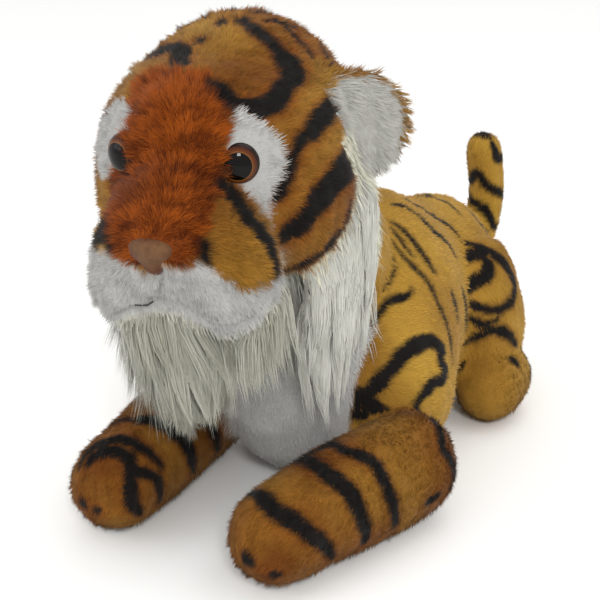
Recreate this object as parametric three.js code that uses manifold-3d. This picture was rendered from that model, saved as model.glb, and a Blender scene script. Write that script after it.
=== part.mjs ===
// A stuffed plush tiger, lying on its belly with the head up and the tail raised.
// Millimetres, +Z up, nose towards -Y, the tiger's own left side towards +X, floor at Z = 0.
// Every surface is the outer face of the pile, out to the tips of the coat.
import * as THREE from "three";
import { mergeVertices } from "three/addons/utils/BufferGeometryUtils.js";
import Module from "manifold-3d";

const wasm = await Module();
wasm.setup();

// ---------------------------------------------------------------- driving sizes
const CLEARANCE = 0.35; // between sewn pieces that meet
const EYE_DIAMETER = 21;
const EYE_FLATNESS = 0.6; // depth next to width
const EYE_TURN = 26; // degrees outwards
const EYE_CENTRES = [[32, -61, 22.4], [-34, -61, 25]]; // left and right, on the head
const HEAD_CENTRE = [-10, -124, 216];
const HEAD_YAW = 16; // degrees, nose towards the tiger's left
const HEAD_PITCH = 8; // degrees, nose down
const HEAD_ROLL = -3; // degrees, left ear up
const TRUNK_MIDDLE = [0, 30, 74];
const TAIL_THICKNESS = 29;
const FLOOR_FLAT = 2; // how far each stuffed piece is pressed flat where it lies on the floor
const FLOOR_EXTENT = 1200; // of the block below the floor that cuts the flats
const WELD = 1e-3; // corners closer than this are one
const REACH = 300; // further out than any outline from its middle
const SEARCH_STRIDE = 2; // coarse steps inwards from REACH
const HALVINGS = 12; // fine steps that settle the outline

// ---------------------------------------------------------------- shape helpers
const radians = THREE.MathUtils.degToRad;
const vector = (point) => new THREE.Vector3(...point);

// Distance to an oval ball, near enough for blending.
function ovalDistance(point, { centre, radii }) {
  const p = point.clone().sub(centre).divide(radii);
  const near = p.length();
  const steep = p.divide(radii).length();
  return steep < 1e-9 ? -Math.min(radii.x, radii.y, radii.z) : (near * (near - 1)) / steep;
}

// Two distances joined with a rounded valley of the given width.
function softUnion(a, b, blend) {
  const h = Math.max(blend - Math.abs(a - b), 0) / blend;
  return Math.min(a, b) - (h * h * blend) / 4;
}

// One stuffed shape: ovals, each [centre, radii], melted together round the middle point and
// wrapped with a net of faces whose poles lie on the given axis.
function stuffed({ ovals, middle = [0, 0, 0], blend, around, along, poles = "z" }) {
  const balls = ovals.map(([centre, radii]) => ({ centre: vector(centre), radii: vector(radii) }));
  const distance = (p) =>
    balls.map((ball) => ovalDistance(p, ball)).reduce((a, b) => softUnion(a, b, blend));
  const geometry = new THREE.SphereGeometry(1, around, along);
  if (poles === "z") geometry.rotateX(Math.PI / 2);
  const places = geometry.attributes.position;
  const start = vector(middle);
  for (let i = 0; i < places.count; i++) {
    const way = new THREE.Vector3().fromBufferAttribute(places, i).normalize();
    const at = (reach) => start.clone().addScaledVector(way, reach);
    let outside = REACH;
    while (distance(at(outside)) > 0) outside -= SEARCH_STRIDE;
    let inside = outside;
    outside += SEARCH_STRIDE;
    for (let halving = 0; halving < HALVINGS; halving++) {
      const between = (inside + outside) / 2;
      if (distance(at(between)) > 0) outside = between;
      else inside = between;
    }
    places.setXYZ(i, ...at(inside));
  }
  return geometry;
}

// A limb: oval rings along a smooth bone line, with round ends.
// Each station is [x, y, z, width, height]; height lies along `up`.
function limb({ stations, rings, sides, up = [0, 0, 1], capStart = 0.5, capEnd = 0.5 }) {
  const bone = new THREE.CatmullRomCurve3(
    stations.map(([x, y, z]) => new THREE.Vector3(x, y, z)),
    false,
    "centripetal",
  );
  const halves = stations.map(([, , , w, h]) => new THREE.Vector2(w / 2, h / 2));
  const girth = new THREE.SplineCurve(halves);
  const length = bone.getLength();
  const capLength = (share, [, , , w, h]) => (share * Math.min(w, h)) / length;
  const startLength = capLength(capStart, stations[0]);
  const endLength = capLength(capEnd, stations[stations.length - 1]);
  const dome = (t) => (t < 1 ? Math.sqrt(Math.max(0, 1 - (1 - t) ** 2)) : 1);
  const positions = [];
  const index = [];
  for (let i = 0; i <= rings; i++) {
    const done = (1 - Math.cos((Math.PI * i) / rings)) / 2;
    const t = bone.getUtoTmapping(done);
    const middle = bone.getPoint(t);
    if (i === 0 || i === rings) {
      positions.push(...middle);
      continue;
    }
    const tangent = bone.getTangent(t);
    const side = new THREE.Vector3().crossVectors(tangent, vector(up)).normalize();
    const top = new THREE.Vector3().crossVectors(side, tangent).normalize();
    const size = girth.getPoint(t).multiplyScalar(dome(done / startLength) * dome((1 - done) / endLength));
    for (let j = 0; j < sides; j++) {
      const angle = (2 * Math.PI * j) / sides;
      const point = middle.clone().addScaledVector(side, Math.cos(angle) * size.x);
      positions.push(...point.addScaledVector(top, Math.sin(angle) * size.y));
    }
  }
  const ring = (i, j) => 1 + (i - 1) * sides + (j % sides);
  const tip = 1 + (rings - 1) * sides;
  for (let j = 0; j < sides; j++) {
    index.push(0, ring(1, j), ring(1, j + 1));
    for (let i = 1; i < rings - 1; i++) {
      index.push(ring(i, j), ring(i + 1, j), ring(i + 1, j + 1));
      index.push(ring(i, j), ring(i + 1, j + 1), ring(i, j + 1));
    }
    index.push(tip, ring(rings - 1, j + 1), ring(rings - 1, j));
  }
  return new THREE.BufferGeometry()
    .setAttribute("position", new THREE.Float32BufferAttribute(positions, 3))
    .setIndex(index);
}

// Only positions, with shared corners merged.
function welded(geometry) {
  const places = geometry.getAttribute("position").clone();
  const bare = new THREE.BufferGeometry().setAttribute("position", places);
  if (geometry.index) bare.setIndex(geometry.index.clone());
  return mergeVertices(bare, WELD);
}

// The same shape, swollen a little, so that what it cuts keeps clear of it.
function swollen(geometry, by) {
  const bare = welded(geometry);
  bare.computeVertexNormals();
  const places = bare.attributes.position;
  const normals = bare.attributes.normal;
  for (let i = 0; i < places.count; i++) {
    const p = new THREE.Vector3().fromBufferAttribute(places, i);
    p.addScaledVector(new THREE.Vector3().fromBufferAttribute(normals, i), by);
    places.setXYZ(i, ...p);
  }
  return welded(bare);
}

// A closed geometry as a solid, turned right side out.
function solid(geometry) {
  const merged = welded(geometry);
  const vertProperties = merged.attributes.position.array;
  const triVerts = new Uint32Array(merged.index.array);
  const made = new wasm.Manifold(new wasm.Mesh({ numProp: 3, vertProperties, triVerts }));
  if (made.volume() > 0) return made;
  triVerts.reverse();
  return new wasm.Manifold(new wasm.Mesh({ numProp: 3, vertProperties, triVerts }));
}

function geometryOf(made) {
  const mesh = made.getMesh();
  return new THREE.BufferGeometry()
    .setAttribute("position", new THREE.BufferAttribute(new Float32Array(mesh.vertProperties), 3))
    .setIndex(new THREE.BufferAttribute(new Uint32Array(mesh.triVerts), 1));
}

const floorBlock = solid(
  new THREE.BoxGeometry(FLOOR_EXTENT, FLOOR_EXTENT, FLOOR_EXTENT).translate(0, 0, -FLOOR_EXTENT / 2),
);

// A piece cut clear of its neighbours and pressed flat on the floor, without the crumbs.
function fitted(geometry, neighbours) {
  let made = solid(geometry).subtract(floorBlock);
  for (const neighbour of neighbours) made = made.subtract(solid(swollen(neighbour, CLEARANCE)));
  return geometryOf(made.decompose().reduce((a, b) => (b.volume() > a.volume() ? b : a)));
}

// ---------------------------------------------------------------- trunk, neck and tail
const trunk = stuffed({
  ovals: [
    [[0, -66, 63], [56, 54, 64]],
    [[0, -8, 84], [66, 82, 87]],
    [[46, -34, 52], [36, 44, 51]],
    [[-46, -34, 52], [36, 44, 51]],
    [[0, 76, 72], [50, 74, 73]],
  ],
  middle: TRUNK_MIDDLE,
  blend: 26,
  around: 28,
  along: 17,
  poles: "y",
});
const neck = limb({
  stations: [
    [0, -30, 100, 104, 110],
    [-4, -66, 145, 112, 112],
    [-9, -96, 190, 108, 108],
  ],
  rings: 8,
  sides: 18,
  up: [0, 1, 0],
});
const tail = limb({
  stations: [
    [0, 118, 80, TAIL_THICKNESS, TAIL_THICKNESS],
    [0, 154, 88, TAIL_THICKNESS, TAIL_THICKNESS],
    [0, 170, 118, TAIL_THICKNESS, TAIL_THICKNESS],
    [-2, 161, 170, TAIL_THICKNESS, TAIL_THICKNESS],
  ],
  rings: 13,
  sides: 12,
  up: [1, 0, 0],
});

// ---------------------------------------------------------------- head, in a frame of its own
const headFrame = new THREE.Matrix4()
  .makeRotationFromEuler(new THREE.Euler(radians(HEAD_PITCH), radians(HEAD_ROLL), radians(HEAD_YAW), "ZXY"))
  .setPosition(vector(HEAD_CENTRE));
const onHead = (geometry) => geometry.applyMatrix4(headFrame);

const head = onHead(
  stuffed({
    ovals: [
      [[0, -6, 2], [71, 62, 61]],
      [[0, 30, 13], [62, 57, 60]],
      [[0, -30, 18], [42, 40, 40]],
      [[34, -12, -20], [38, 44, 39]],
      [[-34, -12, -20], [38, 44, 39]],
    ],
    blend: 18,
    around: 26,
    along: 18,
  }),
);
const muzzle = onHead(
  stuffed({
    ovals: [
      [[0, -74, -17], [49, 33, 33]],
      [[26, -76, -39], [29, 29, 27]],
      [[-26, -76, -39], [29, 29, 27]],
      [[0, -84, -6], [27, 24, 22]],
      [[0, -56, 6], [27, 32, 28]],
    ],
    middle: [0, -66, -16],
    blend: 14,
    around: 22,
    along: 15,
  }),
);
const eyes = EYE_CENTRES.map((centre) =>
  onHead(
    new THREE.SphereGeometry(EYE_DIAMETER / 2, 14, 8)
      .scale(1, EYE_FLATNESS, 1)
      .rotateZ(radians(Math.sign(centre[0]) * EYE_TURN))
      .translate(...centre),
  ),
);
const nose = onHead(
  stuffed({
    ovals: [
      [[0, 0, 2], [13, 8, 6]],
      [[0, 0, -5], [5.5, 7, 5.5]],
    ],
    blend: 5,
    around: 12,
    along: 8,
  }).translate(-1, -103, -8),
);
const ears = [1, -1].map((side) =>
  onHead(
    new THREE.SphereGeometry(1, 16, 12)
      .scale(47, 9, 36)
      .rotateY(radians(side * 18))
      .rotateZ(radians(side * 54))
      .translate(side * 60, 27, 8),
  ),
);

// ---------------------------------------------------------------- long white fur
const ruffs = [1, -1].map((side) =>
  limb({
    stations: [
      [side * 58 - 6, -88, 214, 24, 36],
      [side * 59 - 6, -98, 176, 26, 70],
      [side * 52 - 4, -106, 134, 28, 74],
      [side * 42, -102, 84, 18, 36],
    ],
    rings: 9,
    sides: 12,
    up: [0, 1, 0],
  }),
);
const beard = stuffed({
  ovals: [
    [[-8, -166, 150], [44, 40, 32]],
    [[-9, -172, 120], [34, 32, 38]],
    [[-3, -174, 88], [18, 20, 28]],
  ],
  middle: [0, -160, 120],
  blend: 24,
  around: 16,
  along: 12,
});

// ---------------------------------------------------------------- legs
// A station [x, y, width, height] of a piece that lies on the floor, sunk in by the flat.
const lying = ([x, y, w, h]) => [x, y, h / 2 - FLOOR_FLAT, w, h];
const forelegs = [
  [
    [88, -49, 64, 68],
    [81, -96, 61, 71],
    [69, -146, 58, 70],
    [62, -178, 57, 62],
    [57, -208, 62, 58],
  ],
  [
    [-68, -58, 58, 66],
    [-62, -104, 61, 68],
    [-53, -152, 60, 67],
    [-49, -186, 56, 61],
    [-43, -215, 60, 56],
  ],
].map((stations) => limb({ stations: stations.map(lying), rings: 14, sides: 16 }));
const thighs = [1, -1].map((side) =>
  stuffed({
    ovals: [
      [[side * 46, 75, 82], [24, 36, 44]],
      [[side * 48, 86, 50], [26, 34, 34]],
    ],
    middle: [side * 46, 80, 68],
    blend: 20,
    around: 14,
    along: 10,
  }),
);
const hindpaws = [1, -1].map((side) =>
  limb({
    stations: [
      [side * 58, 104, 46, 50],
      [side * 64, 74, 48, 53],
      [side * 68, 34, 50, 54],
    ].map(lying),
    rings: 9,
    sides: 14,
  }),
);

// ---------------------------------------------------------------- assembly
const PLUSH_TAN = 0xc98a3c;
const PLUSH_WHITE = 0xdcdcdc;
const PLUSH_IVORY = 0xd7d7c8;
const NOSE_SUEDE = 0xb88a68;
const EYE_BROWN = 0x2a1408;
const PILE_ROUGHNESS = 0.95;
const tiger = new THREE.Group();

function add(name, geometry, color, roughness = PILE_ROUGHNESS) {
  const mesh = new THREE.Mesh(geometry, new THREE.MeshStandardMaterial({ color, roughness, metalness: 0 }));
  mesh.name = name;
  tiger.add(mesh);
}

const body = [trunk, neck];
add("trunk", fitted(trunk, []), PLUSH_TAN);
add("neck", fitted(neck, [trunk]), PLUSH_TAN);
add("head", fitted(head, [...eyes, nose, ...body, muzzle]), PLUSH_TAN);
add("muzzle", fitted(muzzle, [...eyes, nose, ...body]), PLUSH_WHITE);
add("nose", fitted(nose, []), NOSE_SUEDE, 0.8);
add("beard", fitted(beard, [...body, head, muzzle, ...ruffs]), PLUSH_IVORY);
add("tail", fitted(tail, [...body, ...thighs]), PLUSH_TAN);
["left", "right"].forEach((side, i) => {
  add(`eye_${side}`, fitted(eyes[i], []), EYE_BROWN, 0.1);
  add(`ear_${side}`, fitted(ears[i], [head, ...body]), PLUSH_WHITE);
  add(`ruff_${side}`, fitted(ruffs[i], [...body, head, muzzle, ears[i]]), PLUSH_IVORY);
  add(`foreleg_${side}`, fitted(forelegs[i], [...body, ruffs[i], beard, muzzle]), PLUSH_TAN);
  add(`thigh_${side}`, fitted(thighs[i], [...body, hindpaws[i]]), PLUSH_TAN);
  add(`hindpaw_${side}`, fitted(hindpaws[i], body), PLUSH_TAN);
});

export default tiger;
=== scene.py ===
import bmesh
import bpy
import numpy as np
from mathutils import Matrix, Vector
from mathutils.bvhtree import BVHTree


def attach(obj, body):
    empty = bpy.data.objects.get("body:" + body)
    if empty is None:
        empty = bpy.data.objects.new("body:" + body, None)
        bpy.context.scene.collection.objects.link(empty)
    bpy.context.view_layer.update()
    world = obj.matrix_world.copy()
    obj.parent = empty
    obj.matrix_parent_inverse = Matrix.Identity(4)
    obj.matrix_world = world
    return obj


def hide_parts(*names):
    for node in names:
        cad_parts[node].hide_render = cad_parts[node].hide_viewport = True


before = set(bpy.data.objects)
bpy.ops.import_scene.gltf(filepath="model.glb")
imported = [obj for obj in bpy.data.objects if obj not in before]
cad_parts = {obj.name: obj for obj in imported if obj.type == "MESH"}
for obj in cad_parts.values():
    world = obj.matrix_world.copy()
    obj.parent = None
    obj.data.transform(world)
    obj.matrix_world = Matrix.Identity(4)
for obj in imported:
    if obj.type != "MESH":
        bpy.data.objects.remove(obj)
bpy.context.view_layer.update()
scene = bpy.context.scene
mm = 0.001

# ------------------------------------------------------------------ sewn cloth
# The toy's skin is the backing cloth of the plush, cut in panels, sewn together and stuffed hard. It is
# one closed surface, inside the tips of the coat by the height that each panel's pile lies at, and drawn
# in along its seams.
PILE_DEPTH = {
    "trunk": 2.2 * mm, "neck": 2.2 * mm, "tail": 1.9 * mm, "thigh": 2.2 * mm, "hindpaw": 2.4 * mm,
    "foreleg": 2.6 * mm, "head": 3.0 * mm, "muzzle": 3.2 * mm, "ear": 2.8 * mm, "ruff": 5.5 * mm,
    "beard": 12 * mm,
}
KINDS = list(PILE_DEPTH)
FILLED_BEHIND = ("eye", "nose")  # the cloth runs on behind these
OVERLAP = 0.5 * mm  # closes the gap between two solids that meet
CLOTH_STEP = 3.0 * mm
FAR = 30 * mm  # past this, a piece has no say in the cloth
SEAM_REACH = 2.6 * mm
SEAM_DEPTH = 2.2 * mm
SEAM_WIDTH = 1.0  # of a seam between two colours on the head, in degrees
EYE_SEAM_WIDTH = 0.8  # and of the seams round the white eye patches
HEAD_CENTRE = np.array([-10, -124, 216]) * mm
HEAD_TURN = np.array(
    Matrix.Rotation(np.radians(16), 3, "Z")
    @ Matrix.Rotation(np.radians(8), 3, "X")
    @ Matrix.Rotation(np.radians(-3), 3, "Y")
)
EAR_CENTRE = np.array([60, 27, 8]) * mm  # the left one, from the head's centre
EAR_SWEEP = np.radians(54)
EAR_DROOP = np.radians(18)
EAR_REACH = (47 * mm, 36 * mm)  # from its centre, along it and up it
EAR_HOLLOW = 5 * mm
EYE_CENTRES = np.array([[-34, -61, 25], [32, -61, 22.4]]) * mm  # right and left, from the head's centre
EYE_TURN = np.radians(26)
EYE_HALF = 10.5 * mm
EYE_FLATNESS = 0.6  # the height of its dome next to half its width
EYE_SOCKET = 5 * mm  # how far the washer draws the cloth in behind an eye
BRIDGE_FILL = 3 * mm  # how far the bridge between the eyes is stuffed out
TEMPLE_FILL = 3 * mm  # and the right temple, by the turn of the head
BEARD_TAPER = 9 * mm  # how much deeper the cloth is in the beard's thin end
BEARD_END = (84 * mm, 118 * mm)
CREASE_REACH = 3 * mm
CREASE_DEPTH = 3.2 * mm
CREASE_SHADE = 1.2 * mm  # how far the dark of a crease reaches
# Lines on the head are in degrees from the nose towards the left, and up, round the head's centre.
CREASES = [
    [(2, -9), (0, -14), (-2, -19)],
    [(-18, -25), (-10, -21.5), (-5, -21), (1, -19), (5, -20), (9, -23), (14, -25.5), (20, -26), (27, -23)],
]
JAW_SEAM = [
    (84, 12), (87, -4), (88, -15), (84, -23), (77, -28), (70, -31.5), (62, -35), (55, -39), (47, -43),
]
RUFF_ZONE = [*JAW_SEAM, (36, -50), (30, -90), (108, -90), (106, 5), (100, 14)]
CHEEK_ZONE = [*JAW_SEAM, (30, -44), (30, 30), (70, 30)]
CHIN_ZONE = [
    (-18, -27.5), (-10, -24.5), (-5, -24), (1, -23.5), (5, -25), (9, -28), (13, -30.5), (18, -30.5),
    (22, -29.5), (25, -28), (28, -26.5), (32, -24.5), (38, -24.5), (60, -28), (60, -89), (-30, -89),
    (-30, -35),
]
EAR_ZONE = [
    (108, 45), (103, 41), (99, 37), (96, 32), (92, 24), (92, 17), (93, 10), (92, 2), (104, -2), (112, 4),
    (115, 20), (115, 38),
]
HEM_OF_RUFF = (104 * mm, 116 * mm)  # under this height the ruff's cloth is chest
CLOTH_LIFT = 1.5 * mm  # of the cloth off the floor, by the pile under it


def unit(vectors):
    return vectors / np.maximum(np.linalg.norm(vectors, axis=-1, keepdims=True), 1e-9)


def ramp(value, start, end):
    """0 before start, 1 after end, and smooth between them."""
    t = np.clip((value - start) / (end - start), 0, 1)
    return t * t * (3 - 2 * t)


def summed(index, values, count):
    """The values of each index added up."""
    return np.stack([np.bincount(index, values[:, k], count) for k in range(values.shape[1])], 1)


def waves(places, size, seed, count=8):
    """Soft random hills about `size` across, mostly from -1 to 1."""
    draw = np.random.default_rng(seed)
    ways = unit(draw.normal(size=(count, 3))) * 2 * np.pi / (size * draw.uniform(1.1, 2.6, (count, 1)))
    return np.sin(places @ ways.T + draw.uniform(0, 2 * np.pi, count)).sum(1) / np.sqrt(count)


def solid_of(node):
    """The corners, corner normals and triangles of one of the frame's solids."""
    made = bmesh.new()
    made.from_mesh(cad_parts[node].data)
    bmesh.ops.remove_doubles(made, verts=made.verts, dist=0.001 * mm)
    made.normal_update()
    places = np.array([v.co for v in made.verts])
    normals = np.array([v.normal for v in made.verts])
    faces = np.array([[v.index for v in f.verts] for f in made.faces])
    made.free()
    return places, normals, faces


def mesh_piece(name, places, faces):
    """A piece from an array of places and one of triangles."""
    mesh = bpy.data.meshes.new(name)
    mesh.vertices.add(len(places))
    mesh.vertices.foreach_set("co", np.asarray(places, np.float32).ravel())
    mesh.loops.add(faces.size)
    mesh.loops.foreach_set("vertex_index", np.asarray(faces, np.int32).ravel())
    mesh.polygons.add(len(faces))
    mesh.polygons.foreach_set("loop_start", np.arange(0, faces.size, 3, dtype=np.int32))
    mesh.update(calc_edges=True)
    piece = bpy.data.objects.new(name, mesh)
    scene.collection.objects.link(piece)
    return piece


def finished(piece):
    """The piece's modifiers turned into plain mesh."""
    mesh = bpy.data.meshes.new_from_object(piece.evaluated_get(bpy.context.evaluated_depsgraph_get()))
    piece.modifiers.clear()
    piece.data = mesh
    return piece


def places_of(mesh):
    places = np.zeros(len(mesh.vertices) * 3, np.float32)
    mesh.vertices.foreach_get("co", places)
    return places.reshape(-1, 3).astype(float)


def normals_of(places, faces):
    a, b, c = (places[faces[:, k]] for k in range(3))
    facing = np.cross(b - a, c - a)
    return unit(sum(summed(faces[:, k], facing, len(places)) for k in range(3)))


def relaxed(places, edges, rounds):
    """Each place drawn half way to the middle of its neighbours, again and again."""
    one, two = edges.T
    count = len(places)
    degree = np.bincount(edges.ravel(), minlength=count)[:, None]
    for _ in range(rounds):
        around = summed(one, places[two], count) + summed(two, places[one], count)
        places = (places + around / degree) / 2
    return places


def on_head(places):
    """Places as seen from the head's centre, in the head's own axes."""
    return (places - HEAD_CENTRE) @ HEAD_TURN


def bearings(places):
    """Degrees from the nose towards the tiger's left, and degrees up, from the head's centre."""
    q = on_head(places)
    azimuth = np.degrees(np.arctan2(q[:, 0], -q[:, 1]))
    return azimuth, np.degrees(np.arctan2(q[:, 2], np.hypot(q[:, 0], q[:, 1])))


def from_line(x, y, line):
    """How far each point is from a line of flat points."""
    found = np.full(len(x), 1e9)
    for (ax, ay), (bx, by) in zip(line, line[1:]):
        t = np.clip(((x - ax) * (bx - ax) + (y - ay) * (by - ay)) / ((bx - ax) ** 2 + (by - ay) ** 2), 0, 1)
        found = np.minimum(found, np.hypot(x - ax - t * (bx - ax), y - ay - t * (by - ay)))
    return found


def panel(azimuth, elevation, outline, soft):
    """How far inside an outline each direction is, from 0 to 1, with an edge `soft` degrees wide."""
    inside = np.zeros(len(azimuth), bool)
    for (ax, ay), (bx, by) in zip(outline, [*outline[1:], outline[0]]):
        crosses = (ay > elevation) != (by > elevation)
        inside ^= crosses & (azimuth < (bx - ax) * (elevation - ay) / (by - ay + 1e-12) + ax)
    edge = from_line(azimuth, elevation, [*outline, outline[0]])
    return ramp(np.where(inside, edge, -edge), -soft, soft)


def creased(places, reach):
    """1 on the mouth's creases, less to the sides of them."""
    away = np.radians(np.minimum(*[from_line(*bearings(places), line) for line in CREASES]))
    return np.exp(-((away * np.linalg.norm(on_head(places), axis=1) / reach) ** 2))


def eye_view(places):
    """Where each place is from the eye on its side, in the eye's own axes, with -Y as its front."""
    q = on_head(places)
    left = q[:, 0] > 0
    x, y, z = (q - EYE_CENTRES[left.astype(int)]).T
    x = np.where(left, x, -x)
    across = x * np.cos(EYE_TURN) + y * np.sin(EYE_TURN)
    return np.stack([across, y * np.cos(EYE_TURN) - x * np.sin(EYE_TURN), z], 1)


def eye_gap(places):
    """How far each place is from the edge of the nearer eye, less than 0 behind the eye."""
    q = eye_view(places)
    return np.maximum(np.hypot(q[:, 0], q[:, 2]), np.abs(q[:, 1]) - 2 * EYE_HALF) - EYE_HALF


def kind_of(node):
    return node.split("_")[0]


def sewn_surface():
    """One closed surface round all the solids that are cloth, as a piece."""
    places, faces = [], []
    for node in sorted(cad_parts):
        corners, normals, triangles = solid_of(node)
        faces.append(triangles + sum(len(p) for p in places))
        places.append(corners + normals * OVERLAP)
    piece = mesh_piece("skin", np.concatenate(places), np.concatenate(faces))
    close = piece.modifiers.new("close", "REMESH")
    close.mode = "VOXEL"
    close.voxel_size = CLOTH_STEP
    return finished(piece)


def kind_distances(places):
    """How far each place is from each kind of piece, up to FAR."""
    found = np.full((len(places), len(KINDS)), FAR)
    for node in sorted(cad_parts):
        kind = kind_of(node)
        if kind in FILLED_BEHIND:
            continue
        corners, _, triangles = solid_of(node)
        tree = BVHTree.FromPolygons(corners.tolist(), triangles.tolist())
        near = ((places > corners.min(0) - FAR) & (places < corners.max(0) + FAR)).all(1)
        column = KINDS.index(kind)
        for i in np.flatnonzero(near):
            gap = tree.find_nearest(Vector(places[i]), found[i, column])[3]
            if gap is not None:
                found[i, column] = gap
    return found


def ear_view(places):
    """Where each place is on its ear: along it and up it, as shares of its reach, and how far it is in
    front of the ear's middle sheet."""
    q = on_head(places)
    x = np.abs(q[:, 0]) - EAR_CENTRE[0]
    y = q[:, 1] - EAR_CENTRE[1]
    z = q[:, 2] - EAR_CENTRE[2]
    outward = x * np.cos(EAR_SWEEP) + y * np.sin(EAR_SWEEP)
    along = outward * np.cos(EAR_DROOP) - z * np.sin(EAR_DROOP)
    up = outward * np.sin(EAR_DROOP) + z * np.cos(EAR_DROOP)
    front = x * np.sin(EAR_SWEEP) - y * np.cos(EAR_SWEEP)
    return along / EAR_REACH[0], up / EAR_REACH[1], front


def ear_facing(places, normals):
    """How far the cloth faces the hollow side of its ear, from -1 to 1."""
    turned = normals @ HEAD_TURN
    side = np.where(on_head(places)[:, 0] > 0, 1, -1)
    return side * turned[:, 0] * np.sin(EAR_SWEEP) - turned[:, 1] * np.cos(EAR_SWEEP)


skin = sewn_surface()
quads = np.zeros(len(skin.data.loops), np.int32)
skin.data.loops.foreach_get("vertex_index", quads)
quads = quads.reshape(-1, 4)
cloth_faces = np.concatenate([quads[:, [0, 1, 2]], quads[:, [0, 2, 3]]])
cloth_edges = np.array([edge.vertices[:] for edge in skin.data.edges])
shell = relaxed(places_of(skin.data), cloth_edges, 6)
shell_normals = normals_of(shell, cloth_faces)
gaps = kind_distances(shell)
share = np.exp(-gaps / (1.5 * mm))
share /= share.sum(1, keepdims=True)
gaps[:, KINDS.index("ruff")] = FAR  # its edge is under the long fur
nearest_two = np.sort(gaps, axis=1)[:, :2].sum(1)
seam = np.exp(-((nearest_two / SEAM_REACH) ** 2))
depth = share @ np.array(list(PILE_DEPTH.values())) + SEAM_DEPTH * seam
ear_along, ear_up, ear_front = ear_view(shell)
ear_round = np.clip(1 - ear_along**2 - ear_up**2, 0, 1)
depth += EAR_HOLLOW * ear_round * share[:, KINDS.index("ear")] * ramp(ear_front, 0, 3 * mm)
depth += CREASE_DEPTH * creased(shell, CREASE_REACH) * share[:, KINDS.index("muzzle")]
depth += EYE_SOCKET * (1 - ramp(eye_gap(shell), -2.5 * mm, 0.5 * mm))
shell_azimuth, shell_elevation = bearings(shell)
bridge = (1 - ramp(np.abs(shell_azimuth), 17, 25)) * ramp(shell_elevation, -6, 8)
bridge *= 1 - ramp(shell_elevation, 40, 56)
temple = np.exp(-(((shell_azimuth + 75) / 32) ** 2) - ((shell_elevation - 35) / 25) ** 2)
depth -= (BRIDGE_FILL * bridge + TEMPLE_FILL * temple) * share[:, KINDS.index("head")]
depth += BEARD_TAPER * (1 - ramp(shell[:, 2], *BEARD_END)) * share[:, KINDS.index("beard")]
stuffing = 0.5 * mm * waves(shell, 38 * mm, 1) + 0.25 * mm * waves(shell, 15 * mm, 2)
cloth = relaxed(shell - shell_normals * (depth + stuffing)[:, None], cloth_edges, 1)
cloth[:, 2] = np.maximum(cloth[:, 2], CLOTH_LIFT)
cloth_normals = normals_of(cloth, cloth_faces)
bpy.data.objects.remove(skin)


def resewn(source, target, amount):
    """Gives another panel what the source panel has of the cloth, where amount is 1."""
    moved = share[:, KINDS.index(source)] * amount
    share[:, KINDS.index(source)] -= moved
    share[:, KINDS.index(target)] += moved


cloth_azimuth, cloth_elevation = bearings(cloth)
resewn("head", "ruff", panel(np.abs(cloth_azimuth), cloth_elevation, RUFF_ZONE, SEAM_WIDTH))
resewn("ruff", "head", panel(np.abs(cloth_azimuth), cloth_elevation, CHEEK_ZONE, SEAM_WIDTH))
resewn("muzzle", "beard", panel(cloth_azimuth, cloth_elevation, CHIN_ZONE, SEAM_WIDTH))
resewn("head", "ear", panel(np.abs(cloth_azimuth), cloth_elevation, EAR_ZONE, SEAM_WIDTH))
resewn("ruff", "trunk", 1 - ramp(cloth[:, 2], *HEM_OF_RUFF))
skin = mesh_piece("skin", cloth, cloth_faces)
cloth_tree = BVHTree.FromPolygons(cloth.tolist(), cloth_faces.tolist())


def unwrapped(piece):
    """Unwraps a piece by its own shape, and gives the place of each triangle's corners on the map."""
    piece.data.uv_layers.new(name="OFBake")
    bpy.context.view_layer.objects.active = piece
    piece.select_set(True)
    bpy.ops.object.mode_set(mode="EDIT")
    bpy.ops.mesh.select_all(action="SELECT")
    bpy.ops.uv.smart_project(angle_limit=np.radians(66), island_margin=0.002)
    bpy.ops.object.mode_set(mode="OBJECT")
    corners = np.zeros(len(piece.data.loops) * 2, np.float32)
    piece.data.uv_layers["OFBake"].uv.foreach_get("vector", corners)
    return corners.reshape(-1, 3, 2)


skin_map = unwrapped(skin)

# ------------------------------------------------------------------ printed pattern and panels
# The plush is printed with black tiger stripes before it is cut. Rust, white and ivory panels are sewn
# in on the face, chest, ears and ruff. The same pattern dyes the cloth and every tuft that grows on it, and
# painted shade darkens the muzzle's creases.
STRIPE_STEP = 1.2  # mm or degrees
STRIPE_SOFT = 1.1 * mm
STRIPE_SPREAD = 0.6 * mm  # of the ink into the pile on each side
STRIPE_SHADE = 6 * mm  # how far the dark tan round a stripe reaches
FRAY = 0.6 * mm
FULL_FRAY = 3.5 * mm  # the edges of narrower stripes are frayed less
PAIRS_AT_ONCE = 4_000_000  # of a tuft and a point of a stripe, to save memory
OUTSIDE = 200 * mm  # further than the cloth is from the middle of the head or of the trunk
LIMB_REACH = 60 * mm  # further than a limb's cloth is from its middle line
TRUNK_AXIS_HEIGHT = 74 * mm
LEG_AXIS_HEIGHT = 33 * mm
LEG_LINES = {  # the middle line of each foreleg: y, x
    1: ([-208, -178, -146, -96, -49], [57, 62, 69, 81, 88]),
    -1: ([-215, -186, -152, -104, -58], [-43, -49, -53, -62, -68]),
}
TAIL_LINE = ([88, 118, 170], [154, 170, 161])  # z, y
stripes = {kind: [] for kind in KINDS}


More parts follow.
